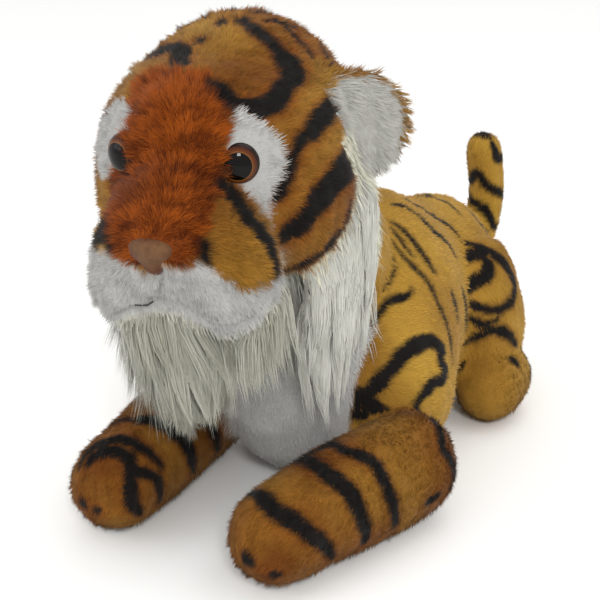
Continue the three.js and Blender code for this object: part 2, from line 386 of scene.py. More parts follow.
def through(points, step):
    """A smooth line through the points, in steps of about `step`, with the share of the way done."""
    points = np.array(points, float)
    if len(points) == 1:
        return points, np.array([0.5])
    ends = np.concatenate([2 * points[:1] - points[1:2], points, 2 * points[-1:] - points[-2:-1]])
    line = []
    for a, b, c, d in zip(ends, ends[1:], ends[2:], ends[3:]):
        t = np.linspace(0, 1, max(2, int(np.ceil(np.linalg.norm(c - b) / step))), endpoint=False)[:, None]
        line.append(b + t / 2 * (c - a + t * (2 * a - 5 * b + 4 * c - d + t * (3 * b - a - 3 * c + d))))
    line = np.concatenate([*line, points[-1:]])
    return line, np.linspace(0, 1, len(line))


def print_stripes(kind, aim, rows):
    """Prints stripes on one kind of piece. A row is half the stripe's width in mm, how wide its ends are
    next to its middle, and the points of its middle line, which aim puts on the cloth."""
    for half_width, blunt, *points in rows:
        line, done = through(points, STRIPE_STEP)
        taper = blunt + (1 - blunt) * np.sin(np.pi * done) ** 0.6
        for point, width in zip(line, taper * half_width * mm):
            place = aim(*point)
            if place is not None:
                stripes[kind].append([*place, width])


def ray(start, way, reach=OUTSIDE):
    return cloth_tree.ray_cast(Vector(start), Vector(way).normalized(), reach)[0]


def way_from_head(azimuth, elevation):
    a, e = np.radians([azimuth, elevation])
    return HEAD_TURN @ np.array([np.sin(a) * np.cos(e), -np.cos(a) * np.cos(e), np.sin(e)])


def at_head(azimuth, elevation):
    """Degrees from the nose towards the tiger's left, and up, from the head's centre."""
    return ray(HEAD_CENTRE, way_from_head(azimuth, elevation))


def at_muzzle(azimuth, elevation):
    """As at_head, but on the outermost cloth."""
    way = way_from_head(azimuth, elevation)
    return ray(HEAD_CENTRE + OUTSIDE * way, -way)


def on_one_side(aim, side):
    """The same aim, but on the tiger's left where side is 1 and on its right where it is -1."""
    def turned(azimuth, elevation):
        return aim(side * azimuth, elevation)
    return turned


def at_trunk(y, angle):
    """A y in mm, and degrees from the back down the left side."""
    a = np.radians(angle)
    return ray((0, y * mm, TRUNK_AXIS_HEIGHT), (np.sin(a), 0, np.cos(a)))


def at_leg(side):
    def aim(y, angle):
        """A y in mm, and degrees from the leg's outer side up and over."""
        a = np.radians(angle)
        start = (np.interp(y, *LEG_LINES[side]) * mm, y * mm, LEG_AXIS_HEIGHT)
        return ray(start, (side * np.cos(a), 0, np.sin(a)), LIMB_REACH)
    return aim


def at_side(side):
    def aim(y, z):
        """A place in mm on the outside, seen straight from the side."""
        return ray((side * OUTSIDE, y * mm, z * mm), (-side, 0, 0), 2 * OUTSIDE)
    return aim


def at_tail(z, angle):
    """A height in mm, and degrees round the tail from the tiger's left towards its back end."""
    a = np.radians(angle)
    return ray((0, np.interp(z, *TAIL_LINE) * mm, z * mm), (np.cos(a), np.sin(a), 0), LIMB_REACH)


def at_place(x, y, z):
    return cloth_tree.find_nearest(Vector((x * mm, y * mm, z * mm)))[0]


# Head. The crown is printed unevenly, and the cheeks are alike.
print_stripes("head", at_head, [
    (4.8, 0.35, (168, 72), (128, 71), (106, 64), (94, 57), (86, 52)),
    (8.0, 1, (92, 54), (84, 49)),
    (6.0, 0.5, (84, 50), (61, 43), (45, 39), (31, 42), (25, 49), (19, 54)),
    (3.0, 1, (160, 70)),
    (3.2, 1, (-169, 74)),
    (2.6, 1, (-83, 83)),
    (4.8, 0.6, (-106, 45), (-100, 53), (-94, 62), (-87, 69), (-66, 74)),
    (5.6, 0.8, (-66, 74), (-45, 72), (-22, 67)),
    (3.4, 0.8, (64, 22), (57, 20), (52, 15), (50, 11)),
    (4.2, 0.6, (50, 12), (45, 6), (40, 1)),
    (8.0, 0.9, (70, -1), (65, -3), (59, -6)),
    (6.0, 0.4, (59, -6), (51, -12), (42, -16)),
    (2.4, 0.8, (-40, 8), (-37, 7)),
])
for side in (1, -1):
    lip = on_one_side(at_muzzle, side)
    print_stripes("head", lip, [
        (3.0, 0.5, (84, -16), (79, -22.5), (73.5, -26.5), (66, -29.5), (58, -32.5), (52, -36), (45, -40)),
    ])
    print_stripes("head", on_one_side(at_head, side), [
        (6.0, 0.8, (92, 26), (77, 25), (68, 23)),
        (8.4, 0.8, (93, 2), (78, 1), (70, -1)),
        (2.2, 0.4, (148, 58), (138, 56), (127, 54), (114, 45)),
        (2.2, 0.3, (134, 40), (121, 35), (112, 30)),
        (3.0, 1, (21, 17), (24, 14)),
    ])
    print_stripes("muzzle", lip, [
        (3.0, 0.9, (14, -2), (14.5, -10)),
    ])
band = [(20, 11), (22.5, 8), (25.5, 3), (28.5, -2), (31, -6), (33, -10), (34, -14), (34, -19)]
for kind in ("muzzle", "head"):
    print_stripes(kind, at_muzzle, [
        (5.2, 0.8, *band),
        (6.4, 0.9, (-19, -2.5), (-23, -4), (-26, -9), (-29, -14), (-30, -20)),
    ])
for turn in (150, 172, 195, 214):
    print_stripes("head", at_head, [
        (2.2, 0.2, (turn - 4, 64), (turn - 6, 50), (turn, 38)),
        (1.8, 0.2, (turn + 8, 40), (turn + 10, 22), (turn + 8, 4)),
    ])

# Shoulders and flanks: the left side, then the right side as its near mirror.
for side, shift in ((1, 0), (-1, 6)):
    def flank(y, angle):
        return at_trunk(y + shift, side * angle)
    print_stripes("trunk", flank, [
        (2.2, 0.2, (-4, 14), (7, 18), (15, 29), (33, 39), (37, 46)),
        (2.0, 0.2, (18, 12), (38, 18), (58, 28), (62, 36)),
        (2.0, 0.2, (68, -4), (80, 3), (84, 13), (84, 24)),
        (2.0, 0.2, (-19, 20), (-14, 28), (-11, 38), (-6, 48)),
        (1.2, 0.3, (-24, 22), (-22, 29), (-20, 37)),
        (1.5, 0.3, (-31, 24), (-26, 37), (-17, 49), (-13, 63), (-11, 75), (-13, 92)),
        (2.3, 0.2, (8, 59), (11, 70), (12, 79)),
        (1.0, 0.3, (-35, 31), (-38, 37), (-51, 42)),
        (2.2, 0.2, (30, 62), (38, 78), (42, 95)),
        (2.5, 0.3, (-66, 54), (-51, 48), (-37, 50), (-31, 48)),
        (5.0, 0.7, (-88, 95), (-83, 92), (-69, 81), (-51, 74), (-35, 75), (-24, 82)),
        (4.2, 0.5, (-25, 80), (-30, 86), (-27, 93), (-46, 94), (-61, 101)),
        (5.0, 0.8, (-92, 88), (-86, 92), (-80, 102), (-92, 104)),
        (2.2, 0.2, (4, 98), (14, 114), (12, 128)),
        (2.0, 0.2, (104, 18), (116, 45), (118, 75)),
        (2.0, 0.2, (132, 50), (134, 85), (128, 112)),
    ])

# Forelegs.
left_leg, right_leg = at_leg(1), at_leg(-1)
print_stripes("foreleg", left_leg, [
    (5.2, 0.35, (-181, 140), (-185, 114), (-191, 66), (-186, 28), (-176, -6), (-167, -32)),
    (5.4, 0.35, (-146, 136), (-151, 117), (-157, 74), (-153, 41), (-151, 17), (-144, -32)),
    (4.4, 0.35, (-128, 118), (-136, 86), (-130, 59), (-129, 26), (-122, -32)),
    (4.0, 0.8, (-150, 116), (-134, 106)),
    (3.6, 0.6, (-66, 78), (-72, 58), (-79, 37), (-72, 8), (-76, -25)),
    (3.6, 0.35, (-100, 170), (-122, 165), (-140, 150)),
    (2.8, 0.7, (-98, -20), (-88, -14)),
    (4.0, 0.6, (-50, 96), (-54, 72)),
])
print_stripes("foreleg", right_leg, [
    (3.8, 0.35, (-205, 34), (-193, 66), (-186, 96), (-179, 132), (-173, 166)),
    (4.4, 0.6, (-204, 58), (-195, 95), (-192, 125), (-196, 156), (-200, 190), (-194, 212)),
    (3.6, 0.7, (-192, 150), (-180, 176), (-177, 208)),
    (2.4, 0.4, (-173, 42), (-170, 60), (-168, 92)),
    (5.2, 0.6, (-166, 96), (-156, 127), (-148, 162), (-143, 200)),
    (4.4, 0.6, (-138, 60), (-134, 96), (-128, 130), (-119, 172), (-113, 205)),
    (4.0, 0.35, (-100, 50), (-98, 90), (-94, 130), (-92, 170)),
])
print_stripes("foreleg", at_place, [
    (4.2, 0.35, (60, -209, 27)),
    (3.2, 0.35, (76, -203, 19)),
    (3.2, 0.35, (-52, -216, 25)),
    (2.4, 0.35, (-41, -215, 24)),
])

# Haunches and hind paws, alike on both sides.
for side in (1, -1):
    haunch = at_side(side)
    print_stripes("thigh", haunch, [
        (3.6, 0.6, (58, 125), (68, 117), (79, 104), (86, 92), (79, 84), (63, 80), (50, 84), (43, 88)),
        (5.0, 0.9, (50, 116), (62, 116)),
        (5.2, 0.9, (44, 99), (57, 104), (62, 110)),
        (2.8, 0.4, (44, 78), (52, 72), (61, 74)),
        (2.6, 0.35, (98, 112), (108, 92), (104, 72)),
    ])
    for kind in ("thigh", "hindpaw"):
        print_stripes(kind, haunch, [
            (3.6, 0.4, (43, 58), (56, 66), (68, 62), (80, 50)),
        ])
    print_stripes("hindpaw", haunch, [
        (2.4, 0.35, (36, 35), (41, 41), (46, 47)),
        (3.4, 1, (68, 44), (70, 41)),
        (2.6, 0.35, (88, 50), (92, 34), (88, 20)),
    ])

# Tail.
print_stripes("tail", at_tail, [
    (3.4, 0.6, (129, 190), (133, 225), (140, 260), (132, 299), (125, 351), (121, 390)),
    (3.4, 0.6, (119, 220), (117, 255), (113, 298), (101, 359), (98, 390)),
    (2.6, 0.6, (108, 240), (106, 243), (101, 280)),
    (3.6, 0.6, (163, 340), (152, 354), (150, 400)),
    (2.4, 0.35, (150, 90), (144, 140), (150, 190)),
])
print_stripes("tail", at_place, [
    (4.4, 1, (-8, 160, 184), (2, 160, 186)),
    (2.6, 0.35, (0, 146, 104), (12, 150, 98), (15, 152, 86)),
])

# Panel outlines on the face, in degrees round the head's centre.
RUST_PANEL = [
    (-48, 50), (-44, 55), (-33, 58), (-13, 61), (2, 60), (12, 58), (18, 52), (24, 48), (27, 43), (27, 37),
    (26, 30), (24, 19), (21, 14), (18, 8), (15.5, 4), (14, 0), (12.5, -4), (8, -6), (-8, -6), (-14, -4),
    (-17, -1), (-25, 1.5), (-40, 2), (-36, 9), (-34, 12), (-33, 20), (-30, 27), (-34, 36), (-40, 43),
]
LEFT_EYE_PANEL = [
    (26, 40), (31, 40.5), (36, 38), (41, 35), (45, 30.5), (48, 25), (49, 20), (48, 15), (46, 10), (43, 6),
    (40, 2), (38, -4), (36, -10), (33, -3), (30, 4), (27, 9), (23, 12), (22, 26),
]
RIGHT_EYE_PANEL = [
    (-31, 38), (-45, 41), (-58, 36), (-66, 22), (-65, 8), (-56, 3), (-47, 3.5), (-41, 7), (-36, 10),
    (-30, 14), (-28, 26),
]
MUZZLE_PANEL = [
    (-60, -14), (-40, -11), (-27, -8), (-16, -7), (-8, -6), (0, -8), (7, -6), (12, -6), (15, -10),
    (22, -14), (28, -17), (36, -20), (60, -22), (60, -89), (-60, -89),
]


def printed(places, share, jitter):
    """How black each place is printed, and how much it is shaded by a stripe near it. jitter, from -1 to
    1, frays the edges tuft by tuft."""
    black, shaded = np.zeros((2, len(places)))
    frayed = FRAY * waves(places, 7 * mm, 5) + FRAY * jitter
    for column, kind in enumerate(KINDS):
        here = np.flatnonzero(share[:, column] > 0.3)
        if not stripes[kind] or not len(here):
            continue
        marks = np.array(stripes[kind])
        middles, widths = marks[:, :3], marks[:, 3]
        for some in np.array_split(here, len(here) * len(marks) // PAIRS_AT_ONCE + 1):
            squares = (places[some] ** 2).sum(1)[:, None] + (middles**2).sum(1)
            squares = squares - 2 * places[some] @ middles.T
            away = np.sqrt(np.maximum(squares, 0)) - widths - STRIPE_SPREAD
            nearest = away.argmin(1)
            away = away[np.arange(len(some)), nearest]
            fray = frayed[some] * np.clip(widths[nearest] / FULL_FRAY, 0.25, 1)
            black[some] = np.maximum(black[some], 1 - ramp(away + fray, -STRIPE_SOFT, STRIPE_SOFT))
            shaded[some] = np.maximum(shaded[some], 1 - ramp(away + fray, 0, STRIPE_SHADE))
    return black, shaded


def dyed_and_shaded(places, normals, share, jitter):
    """Black (and painted crease shade), rust, white and ivory of each place, from 0 to 1. What is left is
    tan.
    """
    part = dict(zip(KINDS, share.T))
    azimuth, elevation = bearings(places)
    azimuth += 1.0 * waves(places, 9 * mm, 6) + 0.8 * jitter
    elevation += 1.0 * waves(places, 9 * mm, 7)
    rust_panel = panel(azimuth, elevation, RUST_PANEL, SEAM_WIDTH)
    left_eye = panel(azimuth, elevation, LEFT_EYE_PANEL, EYE_SEAM_WIDTH)
    right_eye = panel(azimuth, elevation, RIGHT_EYE_PANEL, EYE_SEAM_WIDTH)
    eyes = np.maximum(left_eye, right_eye)
    along, up, _ = ear_view(places)
    hem = ramp(along**2 + up**2 + 0.1 * jitter, 0.58, 0.7) * ramp(up, -0.4, -0.1)
    outer_ear = part["ear"] * np.maximum(1 - ramp(ear_facing(places, normals), 0.1, 0.4), hem)
    printed_black, shaded = printed(places, share, jitter)
    shaded *= 0.45 * part["head"] + 0.25 * (part["foreleg"] + part["thigh"])
    x, y, z = places.T
    rust = (part["head"] + part["muzzle"]) * rust_panel * (1 - part["head"] * eyes)
    rust = np.maximum(rust, shaded)
    chest = ramp(-y, 62 * mm, 70 * mm) * ramp(-np.abs(x), -51 * mm, -49 * mm)
    chest *= ramp(-z, -150 * mm, -135 * mm)
    belly = ramp(-normals[:, 2], 0.75, 0.85) * ramp(-np.abs(x), -50 * mm, -46 * mm)
    soles = part["foreleg"] * ramp(-normals[:, 2], 0.8, 0.9)
    white = np.maximum.reduce([
        part["head"] * eyes * (1 - rust_panel * (azimuth > 0)),
        part["muzzle"] * panel(azimuth, elevation, MUZZLE_PANEL, SEAM_WIDTH),
        part["ear"] - outer_ear,
        (part["trunk"] + part["neck"]) * np.maximum(chest, belly),
        soles,
    ])
    ivory = part["ruff"] + part["beard"] + 0.2 * (part["ear"] - outer_ear)
    black = printed_black * (1 - white) * (1 - ivory)
    white = np.minimum(white / np.maximum(1 - ivory, 0.01), 1)  # the ivory is laid over it
    # painted shade: black is mixed in along the muzzle's creases, as the shade that falls in them
    black = np.maximum(black, 0.4 * part["muzzle"] * creased(places, CREASE_SHADE))
    return np.stack([black, rust, white, ivory], 1)


def paint(piece, name, values):
    """Four values at each corner of the piece's mesh, for its material to read."""
    layer = piece.data.attributes.new(name, "FLOAT_COLOR", "POINT")
    layer.data.foreach_set("color", np.asarray(values, np.float32).ravel())


cloth_dye_and_shade = dyed_and_shaded(cloth, cloth_normals, share, np.zeros(len(cloth)))
paint(skin, "dye_and_shade", cloth_dye_and_shade)
ORANGE_PARTS = {  # from straw at 0 to tan at 1
    "foreleg": 1.0, "head": 0.9, "muzzle": 0.8, "ear": 0.7, "neck": 0.3, "hindpaw": 0.35, "thigh": 0.3,
    "trunk": 0.22, "tail": 0.0, "ruff": 0.0, "beard": 0.0,
}


def strands_of(places, share, height, shade):
    """What the material reads: how high up its tuft a corner is, the tuft's own shade, how orange it is."""
    orange = share @ np.array([ORANGE_PARTS[kind] for kind in KINDS]) + 0.22 * waves(places, 45 * mm, 8)
    orange += 0.6 * share[:, KINDS.index("trunk")] * ramp(-places[:, 1], 50 * mm, 85 * mm)
    orange -= 0.3 * share[:, KINDS.index("head")] * ramp(bearings(places)[1], 58, 80)
    return np.stack([height, shade, np.clip(orange, 0, 1), np.ones(len(places))], 1)


# painted shade: the cloth between the tufts is darkened like the shaded foot of a tuft
low = np.full(len(cloth), 0.2)  # the cloth is as dark as the foot of a tuft
middling = np.full(len(cloth), 0.5)
paint(skin, "strand", strands_of(cloth, share, low, middling))


def colour(code):
    """A linear colour from an sRGB hex code."""
    parts = np.array([int(code[k : k + 2], 16) for k in (0, 2, 4)]) / 255
    linear = np.where(parts <= 0.04045, parts / 12.92, ((parts + 0.055) / 1.055) ** 2.4)
    return (*linear.tolist(), 1.0)


def node(tree, kind, links=None, inputs=None, **settings):
    """Adds a node with its settings, its socket values and the sockets linked to it."""
    made = tree.nodes.new(kind)
    for name, value in settings.items():
        setattr(made, name, value)
    for name, value in (inputs or {}).items():
        made.inputs[name].default_value = value
    for name, source in (links or {}).items():
        tree.links.new(source, made.inputs[name])
    return made


def new_material(name):
    """An empty material, its node tree and its output."""
    material = bpy.data.materials.new(name)
    material.use_nodes = True
    material.node_tree.nodes.clear()
    return material, material.node_tree, node(material.node_tree, "ShaderNodeOutputMaterial")


def mixed(tree, share, one, two):
    """Colour one turned into colour two by a share. Each is a socket or an sRGB code."""
    sides = {6: one, 7: two}
    links = {k: v for k, v in sides.items() if not isinstance(v, str)}
    values = {k: colour(v) for k, v in sides.items() if isinstance(v, str)}
    made = node(tree, "ShaderNodeMix", {**links, 0: share}, values, data_type="RGBA")
    return made.outputs[2]


STRAW, TAN, TAN_DEEP = "C1963C", "8B5A1F", "6A3A10"
RUST, RUST_DEEP = "954912", "5A2508"
WHITE, IVORY = "BDBCB9", "DCDAC6"
BLACK = "1B1816"
CLOUD_SIZE = 40 * mm  # of the drift from tan to deep tan
GRAIN_SIZE = 1.2 * mm  # of the knit of the cloth


def dyes_of(tree):
    """The sockets of what was painted on the mesh: its dyes, the ivory among them, and its strands."""
    dye_and_shade = node(tree, "ShaderNodeAttribute", attribute_name="dye_and_shade")
    strand = node(tree, "ShaderNodeAttribute", attribute_name="strand")
    dyes = node(tree, "ShaderNodeSeparateColor", {"Color": dye_and_shade.outputs["Color"]}).outputs
    strands = node(tree, "ShaderNodeSeparateColor", {"Color": strand.outputs["Color"]}).outputs
    return dyes, dye_and_shade.outputs["Alpha"], strands


def ranged(tree, value, low, high, start=0.0, end=1.0):
    """A value from start to end turned into one from low to high."""
    limits = {"From Min": start, "From Max": end, "To Min": low, "To Max": high}
    return node(tree, "ShaderNodeMapRange", {"Value": value}, limits).outputs["Result"]


def lit(tree, shade, *shares):
    """A colour made lighter or darker by shares of it."""
    light = node(tree, "ShaderNodeMath", dict(enumerate(shares)), operation="MULTIPLY").outputs[0]
    return node(tree, "ShaderNodeVectorMath", {0: shade, "Scale": light}, operation="SCALE").outputs[0]


def plush_material(name, bump):
    """Polyester plush: matt fibre with a soft bloom at grazing angles, darker at the feet of the tufts as
    painted shade and paler at the tips, the tan drifting darker in clouds some 40 mm across, as printed pile
    does."""
    material, tree, output = new_material(name)
    place = node(tree, "ShaderNodeTexCoord").outputs["Object"]
    dyes, ivory, strands = dyes_of(tree)
    clouds = node(
        tree, "ShaderNodeTexNoise", {"Vector": place},
        {"Scale": 1 / CLOUD_SIZE, "Detail": 3.0, "Roughness": 0.55},
    )
    drift = ranged(tree, clouds.outputs["Fac"], 0.0, 0.8, 0.42, 0.64)
    shade = mixed(tree, strands["Blue"], STRAW, mixed(tree, drift, TAN, TAN_DEEP))
    shade = mixed(tree, dyes["Green"], shade, mixed(tree, strands["Green"], RUST_DEEP, RUST))
    shade = mixed(tree, dyes["Blue"], shade, WHITE)
    shade = mixed(tree, ivory, shade, IVORY)
    shade = mixed(tree, dyes["Red"], shade, BLACK)
    # painted shade: each tuft is darker down towards its foot and paler at its tip
    painted_shade_by_height = ranged(tree, strands["Red"], 0.6, 1.12)
    by_tuft = ranged(tree, strands["Green"], 0.74, 1.26)
    shade = lit(tree, shade, painted_shade_by_height, by_tuft)
    surface = node(
        tree, "ShaderNodeBsdfPrincipled", {"Base Color": shade},
        {"Roughness": 0.85, "Specular IOR Level": 0.08, "Sheen Weight": 0.06, "Sheen Roughness": 0.5},
    )
    if bump:
        grain = node(
            tree, "ShaderNodeTexNoise", {"Vector": place}, {"Scale": 1 / GRAIN_SIZE, "Detail": 2.0}
        )
        raised = node(
            tree, "ShaderNodeBump", {"Height": grain.outputs["Fac"]}, {"Strength": 0.6, "Distance": 0.0008}
        )
        tree.links.new(raised.outputs["Normal"], surface.inputs["Normal"])
    tree.links.new(surface.outputs["BSDF"], output.inputs["Surface"])
    return material


cloth_plush = plush_material("polyester plush backing", bump=True)
tuft_plush = plush_material("polyester plush pile", bump=False)
skin.data.materials.append(cloth_plush)
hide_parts(*[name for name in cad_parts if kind_of(name) not in FILLED_BEHIND])
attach(skin, "root")

# ------------------------------------------------------------------ pile
# The pile is knitted into the cloth as tufts and brushed along the body: short on the trunk, tail and
# legs, a little longer on the face, longest on the rust bridge of the nose and on the ears.
NOSE_PLACE = np.array([0, -104, -4]) * mm  # from the head's centre, in the head's own axes
NOSE_OUTLINE = [
    (-8.6, -0.2), (-5, 1.6), (3.6, 1.6), (8.4, -0.4), (7.2, -4.4), (3.6, -7.6), (0.5, -9), (-2.6, -7.6),
    (-6.2, -4.6),
]
NOSE_EDGE = 3.0  # degrees over which the pile closes round the nose
PATCH = 0.0015  # half the width of a tuft's patch on the bake map
ROOT_DEPTH = 0.6 * mm  # how far in the cloth a tuft starts
FLOOR_GAP = 0.3 * mm  # how near the floor a tuft comes


def brushed(places, normals, share):
    """Which way the pile is brushed, along the cloth."""
    part = dict(zip(KINDS, share.T))
    x, y, z = places.T
    side = np.sign(x)
    q = on_head(places)
    face = unit(q - NOSE_PLACE)
    aside = np.abs(q[:, 0])
    face[:, 2] -= 0.55 * ramp(aside, 24 * mm, 60 * mm) + 0.5 * ramp(-q[:, 2], 12 * mm, 30 * mm)
    over_eyes = ramp(aside, 3 * mm, 20 * mm) * (1 - ramp(aside, 30 * mm, 44 * mm))
    over_eyes *= ramp(q[:, 2], -4 * mm, 12 * mm)
    face[:, 0] += 1.3 * np.sign(q[:, 0]) * over_eyes
    ear_base = np.stack([np.sign(q[:, 0]) * 44 * mm, np.full(len(q), 4 * mm), np.full(len(q), 20 * mm)], 1)
    one = np.ones(len(x))
    chest = ramp(-y, 66 * mm, 90 * mm)
    toes = ramp(-y, 195 * mm, 225 * mm)
    upright = ramp(z, 84 * mm, 112 * mm)
    flows = {
        "trunk": np.stack([0 * one, 1 - 1.1 * chest, -0.45 - 0.6 * chest], 1),
        "neck": np.stack([0 * one, 0.5 * one, -one], 1),
        "tail": np.stack([0 * one, 1 - upright, 0.1 + upright], 1),
        "thigh": np.stack([0 * one, 0.25 * one, -one], 1),
        "hindpaw": np.stack([0 * one, -one, -0.35 * one], 1),
        "foreleg": np.stack([-0.18 * side, -one, -0.3 - 0.8 * toes], 1),
        "head": face @ HEAD_TURN.T,
        "muzzle": face @ HEAD_TURN.T,
        "ear": unit(q - ear_base) @ HEAD_TURN.T + [0, 0, -0.7],
        "ruff": np.stack([0.1 * side, 0 * one, -one], 1),
        "beard": np.stack([0 * one, -0.1 * one, -one], 1),
    }
    flow = sum(part[kind][:, None] * unit(flows[kind]) for kind in KINDS)
    return unit(flow - (flow * normals).sum(1, keepdims=True) * normals)


cloth_flow = brushed(cloth, cloth_normals, share)
corner_share = share[cloth_faces].mean(1)
corner_a, corner_b, corner_c = (cloth[cloth_faces[:, k]] for k in range(3))
face_area = np.linalg.norm(np.cross(corner_b - corner_a, corner_c - corner_a), axis=1) / 2


def rooted(faces, spacing, draw):
    """Roots of tufts spread evenly over some of the cloth's triangles, with what the cloth says there."""
    area = face_area[faces]
    count = int(area.sum() / spacing**2)
    pick = np.searchsorted(np.cumsum(area) / area.sum(), (np.arange(count) + draw.random(count)) / count)
    pick = faces[np.minimum(pick, len(faces) - 1)]
    u, v = draw.random((2, count))
    over = u + v > 1
    u, v = np.where(over, 1 - u, u), np.where(over, 1 - v, v)
    weights = np.stack([1 - u - v, u, v], 1)

    def blend(values):
        return (values[cloth_faces[pick]] * weights[:, :, None]).sum(1)

    jitter = draw.uniform(-1, 1, count)
    found = {
        "place": blend(cloth), "normal": unit(blend(cloth_normals)), "flow": unit(blend(cloth_flow)),
        "share": blend(share), "seam": blend(seam[:, None])[:, 0],
        "map": (skin_map[pick] * weights[:, :, None]).sum(1),
    }
    found["dye_and_shade"] = dyed_and_shaded(found["place"], found["normal"], found["share"], jitter)
    return found


def under_nose(places):
    """Whether the nose lies over each place, but for its edge, where the pile comes through."""
    return panel(*bearings(places), NOSE_OUTLINE, NOSE_EDGE) > 0.93


def clumped(places, size, seed):
    """The step from each place to the middle of its clump, and three random values of the clump."""
    cell = np.floor(places / size).astype(np.int64)
    best = np.full(len(places), 1e9)
    step = np.zeros_like(places)
    value = np.zeros((len(places), 3))
    for offset in np.ndindex(3, 3, 3):
        at = cell + np.array(offset) - 1
        key = (at * np.array([73856093, 19349663, 83492791])).sum(1) + seed * 2654435761
        rolls = [((key * prime) % 100003) / 100003 for prime in (7919, 104729, 1299709, 15485863)]
        to = (at + np.stack(rolls[:3], 1)) * size - places
        gap = np.linalg.norm(to, axis=1)
        nearer = gap < best
        best = np.where(nearer, gap, best)
        step = np.where(nearer[:, None], to, step)
        value = np.where(nearer[:, None], np.stack(rolls[1:], 1), value)
    return step, value


def locks(name, lines, radii, root, facing, dye_and_shade, shade, flat, own, draw):
    """Closed three-sided tufts round their middle lines, as one piece. facing and dye are given for each
    point of a line. flat is how thick a tuft is next to its width, and own is how much its shading follows
    its own roundness and not what it faces."""
    count, rings = lines.shape[0], lines.shape[1] - 1
    along = unit(np.diff(lines, axis=1))
    side = unit(np.cross(facing[:, 0], along[:, 0]) + 1e-6)
    roll = draw.normal(0, 0.25, (count, 1))
    side = np.cos(roll) * side + np.sin(roll) * np.cross(along[:, 0], side)
    places, outward, patches = [], [], []
    for ring in range(rings):
        way = along[:, ring]
        side = unit(side - (side * way).sum(1, keepdims=True) * way)
        over = np.cross(way, side)
        for turn in np.radians([90, 210, 330]):
            spoke = np.cos(turn) * side + np.sin(turn) * over * flat
            places.append(lines[:, ring] + radii[:, ring, None] * spoke)
            outward.append(np.cos(turn) * side + np.sin(turn) * over)
            patches.append(PATCH * (1 - 0.6 * ring / rings) * np.array([np.cos(turn), np.sin(turn)]))
    places.append(lines[:, -1])
    outward.append(along[:, -1])
    patches.append(np.zeros(2))
    corners = 3 * rings + 1
    faces = [(0, 2, 1)]
    for ring in range(rings - 1):
        for j in range(3):
            a, b = 3 * ring + j, 3 * ring + (j + 1) % 3
            faces += [(a, b, b + 3), (a, b + 3, a + 3)]
    last = 3 * (rings - 1)
    faces += [(last + j, last + (j + 1) % 3, corners - 1) for j in range(3)]
    faces = (np.arange(count)[:, None, None] * corners + np.array(faces)).reshape(-1, 3)
    places = np.stack(places, 1).reshape(-1, 3)
    places[:, 2] = np.maximum(places[:, 2], FLOOR_GAP)
    piece = mesh_piece(name, places, faces)
    ring_of = np.append(np.repeat(np.arange(rings), 3), rings)
    soft = unit(facing[:, ring_of] * (1 - own) + np.stack(outward, 1) * own)
    layer = piece.data.attributes.new("custom_normal", "FLOAT_VECTOR", "POINT")
    layer.data.foreach_set("vector", soft.astype(np.float32).ravel())
    each = np.repeat(np.arange(count), corners)
    paint(piece, "dye_and_shade", dye_and_shade[:, ring_of].reshape(-1, 4))
    heights = np.tile(ring_of / rings, count)
    paint(piece, "strand", strands_of(root["place"][each], root["share"][each], heights, shade[each]))
    spread = np.clip(root["map"][:, None] + np.array(patches), 0, 1).reshape(-1, 2)
    uvs = piece.data.uv_layers.new(name="OFBake")
    uvs.uv.foreach_set("vector", spread[faces.ravel()].astype(np.float32).ravel())
    piece.data.materials.append(tuft_plush)
    return piece


def rusty(root):
    """Whether each tuft grows on the rust panel."""
    return root["dye_and_shade"][:, 1] * (root["share"][:, KINDS.index("ear")] < 0.5) > 0.45


